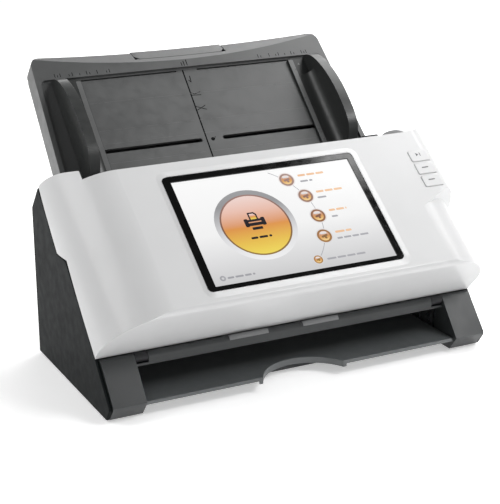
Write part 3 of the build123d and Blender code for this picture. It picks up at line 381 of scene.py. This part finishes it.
def sheet_icon(x, v, size):
    """A generic sheet over a tray."""
    s = size / 2
    sheet = [(x - 0.42 * s, v + 0.2 * s), (x - 0.42 * s, v + 0.95 * s), (x + 0.2 * s, v + 0.95 * s),
             (x + 0.42 * s, v + 0.72 * s), (x + 0.42 * s, v + 0.2 * s)]
    inner = [(x - 0.28 * s, v + 0.2 * s), (x - 0.28 * s, v + 0.8 * s), (x + 0.12 * s, v + 0.8 * s),
             (x + 0.28 * s, v + 0.62 * s), (x + 0.28 * s, v + 0.2 * s)]
    return {
        "dark": [sheet,
                 rounded_box(x - s, x - 0.62 * s, v - 0.55 * s, v + 0.32 * s, 0.12 * s, 3),
                 rounded_box(x + 0.62 * s, x + s, v - 0.55 * s, v + 0.32 * s, 0.12 * s, 3),
                 rounded_box(x - 0.7 * s, x + 0.7 * s, v - 0.04 * s, v + 0.2 * s, 0.05 * s, 2),
                 rounded_box(x - 0.7 * s, x + 0.7 * s, v - 0.48 * s, v - 0.16 * s, 0.05 * s, 2),
                 rounded_box(x - 0.5 * s, x + 0.5 * s, v - 0.92 * s, v - 0.64 * s, 0.05 * s, 2)],
        "light": [inner],
    }


def arc_line(angle0, angle1, count=40):
    """The thin line on which the small spots lie, as its inner and outer edge."""
    points = [math.radians(angle0 + (angle1 - angle0) * i / count) for i in range(count + 1)]
    lines = []
    for radius in (ARC_R - 0.25, ARC_R + 0.25):
        lines.append([(BIG[0] + radius * math.cos(a), BIG[1] + radius * math.sin(a)) for a in points])
    return lines


def screen_picture():
    """The lit page: a big round button, five spots on an arc, and bars in place of words."""
    white = lit("screen_white", [(0.0, (204, 204, 205)), (0.22, (224, 224, 225)), (0.45, (243, 243, 243)),
                                 (1.0, (252, 252, 252))])
    amber = lit("screen_amber", [(0.0, (240, 218, 96)), (0.22, (232, 192, 84)), (0.47, (222, 150, 78)),
                                 (0.53, (222, 158, 116)), (0.75, (234, 192, 176)), (1.0, (240, 216, 210))])
    rim = lit("screen_rim", [(0.0, (150, 120, 62)), (0.5, (130, 92, 74)), (1.0, (160, 128, 120))])
    gold = lit("screen_gold", [(0.0, (246, 214, 150)), (0.4, (218, 160, 92)), (0.6, (206, 150, 112)),
                               (1.0, (236, 214, 204))])
    ring = lit("screen_ring", [(0.0, (240, 240, 241)), (0.35, (222, 222, 224)), (0.8, (152, 152, 154)),
                               (1.0, (160, 160, 162))])
    bronze = lit("screen_bronze", [(0.0, (178, 132, 70)), (0.5, (146, 102, 72)), (1.0, (168, 142, 134))])
    ink = lit("screen_ink", [(0.0, (34, 32, 36)), (1.0, (46, 40, 46))])
    orange = lit("screen_orange", [(0.0, (236, 188, 148)), (1.0, (242, 202, 164))], axis="X")
    grey = lit("screen_grey", [(0.0, (160, 160, 165)), (1.0, (172, 172, 177))], axis="X")
    pale = lit("screen_pale", [(0.0, (214, 214, 216)), (1.0, (240, 232, 230))])

    low, high = SCREEN_LOW, SCREEN_HIGH
    screen_tiles("screen_page", [[low, (high[0], low[1]), high, (low[0], high[1])]], 0, white)
    mesh = bmesh.new()
    inner, outer = arc_line(58.0, -47.0)
    add_strip(mesh, inner, outer, *layer(1), closed=False)
    finish_piece("screen_arc", mesh, FACE, "cover", grey)
    screen_rings("screen_big_ring", [(*BIG, BIG_R, BIG_R + 4.6)], 1, ring)
    screen_rings("screen_big_rim", [(*BIG, BIG_R - 0.9, BIG_R + 0.4)], 2, rim)
    screen_tiles("screen_big_button", [circle(*BIG, BIG_R - 0.6, 72)], 1, amber)
    icon = sheet_icon(BIG[0], BIG[1] + 3.2, 17.0)
    screen_tiles("screen_big_icon", icon["dark"], 2, ink)
    screen_tiles("screen_big_icon_sheet", icon["light"], 3, amber)
    caption = [(BIG[0] - 8.6, BIG[0] + 8.4, BIG[1] - 11.6)]
    screen_tiles("screen_big_caption", word_bars(caption, 1.9, 3), 2, ink)
    screen_rings("screen_spot_halos", [(x, v, r, r + 0.9) for x, v, r in SMALL_SPOTS], 2, pale)
    screen_tiles("screen_spots", [circle(x, v, r + 0.05, 32) for x, v, r in SMALL_SPOTS], 2, bronze)
    for i, (x, v, r) in enumerate(SMALL_SPOTS):
        screen_tiles("screen_spot_face_%d" % i, [circle(x, v, 0.74 * r, 24)], 3, gold)
        glint = bar((x - 0.3 * r, v + 0.45 * r), (x + 0.3 * r, v + 0.45 * r), 0.34 * r)
        screen_tiles("screen_spot_glint_%d" % i, [glint], 4, pale)
    marks = []
    for x, v, r in SMALL_SPOTS:
        marks.append(bar((x - 0.3 * r, v - 0.12 * r), (x + 0.3 * r, v + 0.06 * r), 0.3 * r))
        marks.append(circle(x + 0.12 * r, v - 0.3 * r, 0.17 * r, 12))
    screen_tiles("screen_spot_marks", marks, 5, rim)
    screen_tiles("screen_labels", word_bars(LABELS, 1.9, 11), 1, orange)
    screen_tiles("screen_notes", word_bars(NOTES, 1.6, 12), 1, grey)
    screen_rings("screen_cog", [(-67.6, -42.3, 1.0, 2.3)], 1, grey)


screen_picture()


BEZEL_OUTER = (-82.3, 79.7, -52.6, 51.7)            # x from, x to, v from, v to
BEZEL_INNER = (-76.0, 74.9, -48.8, 46.9)
BEZEL_TOP_H = 0.98                      # just above the surround's rim


def screen_bezel():
    """The black frame that fills the step between the glass and its surround."""
    outer = rounded_box(*BEZEL_OUTER, 3.6)
    inner = rounded_box(*BEZEL_INNER, 0.5)
    mesh = bmesh.new()
    add_strip(mesh, inner, outer, GLASS_TOP_H + LAYER, BEZEL_TOP_H)
    finish_piece("screen_bezel", mesh, FACE, "cover", MATERIALS["screen_glass"])


screen_bezel()


# ---------------------------------------------------------------- marks on the buttons and tray

printed = plastic("printed_marks", (0.10, 0.10, 0.105), 0.5, 2000, 0.00003, 0.05)
tray_print = plastic("tray_print", (0.004, 0.0044, 0.0046), 0.6, 2000, 0.00003, 0.05, specular=0.05)
BUTTON_MARKS = {
    "button_top": [[(135.9, 39.6), (138.2, 41.3), (135.9, 43.0)], bar((139.6, 39.9), (139.6, 42.7), 0.7)],
    "button_middle": [bar((135.6, 28.0), (140.6, 28.0), 1.1)],
    "button_bottom": [bar((135.6, 15.5), (140.6, 15.5), 1.1)],
}
CAP_TOP_H = 0.7                         # top of the button caps above the face
for button, outlines in BUTTON_MARKS.items():
    tiles(button + "_mark", outlines, CAP_TOP_H - 0.05, CAP_TOP_H + 0.03, FACE, button,
          "white_shell", printed)


RIM_H = 2.6                             # height of the tray's rim above its floor


def tray_marks():
    """Generic fold, paper and size marks on the tray's floor."""
    outlines = [bar((0.6, -6.0), (0.0, -12.0), 0.7), bar((0.0, -12.0), (-1.6, -9.9), 0.6)]
    outlines += [bar((-4.4, -22.0), (-1.0, -24.0), 0.6), bar((-1.0, -24.0), (4.4, -22.4), 0.6),
                 bar((-4.4, -25.0), (4.4, -25.4), 0.6)]
    outlines += [bar((-4.0, -36.2), (0.0, -38.2), 0.6), bar((0.0, -38.2), (4.4, -36.0), 0.6),
                 bar((-4.0, -40.0), (0.0, -38.2), 0.6), bar((0.0, -38.2), (4.4, -40.0), 0.6)]
    outlines += [circle(0.1, -68.9, 1.7, 16), bar((1.0, -70.0), (2.8, -66.8), 0.5)]
    return outlines


def rim_marks():
    """Size marks on the raised rim above the floor, like the divisions of a scale."""
    outlines = []
    places = (-114.2, -112.0, -109.6, -102.2, -99.4, -93.2, -87.2, -84.6, -78.2, -70.2, -67.6)
    for i, x in enumerate(places):
        top = 5.6 if i % 2 else 7.0
        outlines.append(bar((x, 3.9), (x, top), 0.55))
        outlines.append(bar((-x, 3.9), (-x, top), 0.55))
    for x, top in ((-3.8, 6.4), (-1.6, 7.6), (1.0, 8.8)):
        outlines.append(bar((x, 3.4), (x, top), 0.7))
    return outlines


RIB_WIDTH = 0.3


def tray_ribs_painted_sheen():
    """Fine ribs across the floor, on each side of the seam, in a lighter colour that paints on the sheen they
    catch.
    """
    outlines = []
    for v in (-23.0, -49.5, -62.0, -80.0):
        outlines.append(bar((-92.0, v), (-10.5, v), RIB_WIDTH, 3))
        outlines.append(bar((-5.0, v), (92.0, v), RIB_WIDTH, 3))
    return outlines


tiles("tray_rim_marks", rim_marks(), RIM_H - 0.05, RIM_H + 0.04, PATH, "tray", "grey_tray", tray_print)
tiles("tray_marks", tray_marks(), -0.05, 0.03, PATH, "tray", "grey_tray", tray_print)
# painted sheen: the ribs are lighter than the tray's floor, standing in for the light along them
rib_painted_sheen = plastic("rib_painted_sheen", (0.125, 0.126, 0.126), 0.3, 2200, 0.00004, 0.06)
tiles("tray_ribs_painted_sheen", tray_ribs_painted_sheen(), -0.05, 0.05, PATH, "tray", "grey_tray", rib_painted_sheen)
# painted highlight: the pale strip along each guide's foot plate stands in for light along its edge
GUIDE_HIGHLIGHT_X = (94.3, 98.4)             # the pale strip along each guide's foot plate
GUIDE_HIGHLIGHT_V = (-96.5, -1.6)
PLATE_H = 2.3                           # top of the foot plates
ARROW_X, ARROW_FOOT, ARROW_TIP = 102.5, -7.4, -5.2
# the pale colour below paints that highlight on; the arrow marks on the guides use it too
highlight_and_arrow_plastic = plastic("guide_highlight_and_arrow", (0.12, 0.122, 0.122), 0.3, 2200, 0.00004, 0.06)
for side, body in ((-1, "guide_left"), (1, "guide_right")):
    strip = rounded_box(*sorted(side * x for x in GUIDE_HIGHLIGHT_X), *GUIDE_HIGHLIGHT_V, 0.8)
    tiles(body + "_edge", [strip], PLATE_H - 0.1, PLATE_H + 0.12, PATH, body, "black_guide", highlight_and_arrow_plastic,
          taper=0.1)
    middle = side * ARROW_X
    arrow = [(middle - 1.3, ARROW_FOOT), (middle + 1.3, ARROW_FOOT), (middle, ARROW_TIP)]
    tiles(body + "_arrow", [arrow], PLATE_H - 0.1, PLATE_H + 0.08, PATH, body, "black_guide", highlight_and_arrow_plastic)
SEAM = bar((-3.7, 0.0), (-6.0, -97.0), 1.2)
tiles("tray_seam", [SEAM], -0.1, 0.025, PATH, "tray", "grey_tray", tray_print)


# ---------------------------------------------------------------- beam tabs and the back

def beam_tabs():
    """Two pale tabs over the front edge of the beam, below the chin."""
    low, high = (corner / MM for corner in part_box("crossbeam"))
    profile = [(low.y - 0.2, high.z - 3.0), (low.y - 0.2, high.z - 2.2), (low.y + 1.1, high.z - 0.5),
               (low.y + 2.6, high.z + 0.05), (low.y + 2.6, high.z - 0.4), (low.y + 1.4, high.z - 1.2),
               (low.y + 0.5, high.z - 3.0)]
    place = local_frame(Vector((0, 0, 0)), Vector((0, 0, 1)), (0, 1, 0))
    mesh = bmesh.new()
    for x0, x1 in ((-56.0, -24.0), (5.5, 36.0)):
        add_prism(mesh, profile, x0, x1)
    pale_tab = plastic("pale_tab", (0.16, 0.163, 0.165), 0.35, 2000, 0.00003, 0.05)
    finish_piece("beam_tabs", mesh, place, "base", pale_tab)


def back_details():
    """Four case screws and a blank plate on the back."""
    low, high = (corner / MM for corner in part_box("rear_cover"))
    place = local_frame(Vector((0, high.y, 0)) * MM, Vector((0, 0, 1)), (-1, 0, 0))
    edge = high.x - 9.0
    spots = [(x, z) for x in (-edge, edge) for z in (low.z + 9.0, high.z - 12.0)]
    dark = MATERIALS["black_guide"]
    rims = [(x, z, 2.5, 4.0) for x, z in spots]
    rings("case_screw_rims", rims, -0.2, 0.25, place, "base", "black_guide", dark)
    tiles("case_screws", [circle(x, z, 2.3, 24) for x, z in spots], -0.2, 0.12, place, "base", "steel",
          MATERIALS["steel"])
    slots = [bar((x - 1.3, z), (x + 1.3, z), 0.6) for x, z in spots]
    slots += [bar((x, z - 1.3), (x, z + 1.3), 0.6) for x, z in spots]
    tiles("case_screw_slots", slots, -0.1, 0.16, place, "base", "black_guide", dark)
    # the blank plate reuses the bay's lighter copy of the charcoal, whose colour is painted light
    tiles("blank_plate", [rounded_box(-30, 30, low.z + 44, low.z + 72, 1.5)], -0.1, 0.12, place, "base",
          "charcoal_casing", bay_plastic_painted_light)


beam_tabs()
back_details()


# ---------------------------------------------------------------- camera, light and floor

CAMERA_AZIMUTH, CAMERA_ELEVATION, CAMERA_ROLL = -26.6, 18.5, -0.3
CAMERA_PLACE = (-0.4719, -0.9609, 0.4281)
CAMERA_LENS = 100.5                     # in mm, for a sensor 36 mm wide
camera_data = bpy.data.cameras.new("camera")
camera_data.lens = CAMERA_LENS
camera_data.sensor_width = 36.0
camera_data.clip_start = 0.05
camera = bpy.data.objects.new("camera", camera_data)
bpy.context.scene.collection.objects.link(camera)
a, e, r = (math.radians(v) for v in (CAMERA_AZIMUTH, CAMERA_ELEVATION, CAMERA_ROLL))
back = Vector((math.sin(a) * math.cos(e), -math.cos(a) * math.cos(e), math.sin(e)))
level = Vector((math.cos(a), math.sin(a), 0))
rise = back.cross(level)
right = math.cos(r) * level + math.sin(r) * rise
up = math.cos(r) * rise - math.sin(r) * level
camera.matrix_world = Matrix.Translation(CAMERA_PLACE) @ Matrix((right, up, back)).transposed().to_4x4()
bpy.context.scene.camera = camera


def softbox(name, place, target, size, power):
    """A rectangular light in metres and watts, turned towards a target."""
    data = bpy.data.lights.new(name, "AREA")
    data.shape = "RECTANGLE"
    data.size, data.size_y = size
    data.energy = power
    light = bpy.data.objects.new(name, data)
    bpy.context.scene.collection.objects.link(light)
    light.location = place
    light.rotation_euler = (Vector(target) - Vector(place)).to_track_quat("-Z", "Y").to_euler()


softbox("overhead_right", (1.35, 0.6, 1.45), (1.35, 0.6, 0), (1.2, 1.4), 34.0)
softbox("near_right", (0.72, -0.72, 1.12), (0.1, 0, 0.1), (0.5, 0.45), 9.0)
softbox("left_high", (-0.7, 0.15, 0.65), (-0.15, 0, 0.15), (0.4, 0.5), 2.6)
softbox("tray_sheen", (0.75, 1.1, 0.75), (0.0, 0.15, 0.15), (1.2, 0.7), 6.0)


# Strength of the surroundings, as axis, from, to, strength at from, strength at to; they are multiplied.
WORLD_SPANS = (("X", -1.0, 1.0, 0.75, 1.05), ("Z", 0.05, 0.8, 1.0, 0.12))


def studio_world():
    """Soft white surroundings: a white horizon, greyer above, and brighter on the right."""
    world = bpy.data.worlds.new("studio")
    bpy.context.scene.world = world
    world.use_nodes = True
    tree = world.node_tree
    coords = tree.nodes.new("ShaderNodeTexCoord")
    split = tree.nodes.new("ShaderNodeSeparateXYZ")
    tree.links.new(coords.outputs["Generated"], split.inputs["Vector"])
    product = tree.nodes.new("ShaderNodeMath")
    product.operation = "MULTIPLY"
    for place, (axis, start, end, low, high) in enumerate(WORLD_SPANS):
        span = tree.nodes.new("ShaderNodeMapRange")
        span.inputs["From Min"].default_value = start
        span.inputs["From Max"].default_value = end
        span.inputs["To Min"].default_value = low
        span.inputs["To Max"].default_value = high
        tree.links.new(split.outputs[axis], span.inputs["Value"])
        tree.links.new(span.outputs["Result"], product.inputs[place])
    tree.links.new(product.outputs["Value"], tree.nodes["Background"].inputs["Strength"])
    tree.nodes["Background"].inputs["Color"].default_value = (1, 1, 1, 1)


studio_world()
FLOOR_SIZE = 14.0
FLOOR_GLOW = 0.4                        # keeps the floor white far from the lights
bpy.ops.mesh.primitive_plane_add(size=FLOOR_SIZE, location=(0, 2.0, 0))
floor = bpy.context.object
floor.name = "floor"
floor_white = plastic("floor_white", (0.94, 0.94, 0.94), 0.85, 50, 0.00001, 0.004, specular=0.1)
floor_shader = floor_white.node_tree.nodes["Principled BSDF"]
floor_shader.inputs["Emission Color"].default_value = (1, 1, 1, 1)
floor_shader.inputs["Emission Strength"].default_value = FLOOR_GLOW
floor.data.materials.append(floor_white)
bpy.context.scene.view_settings.view_transform = "Standard"
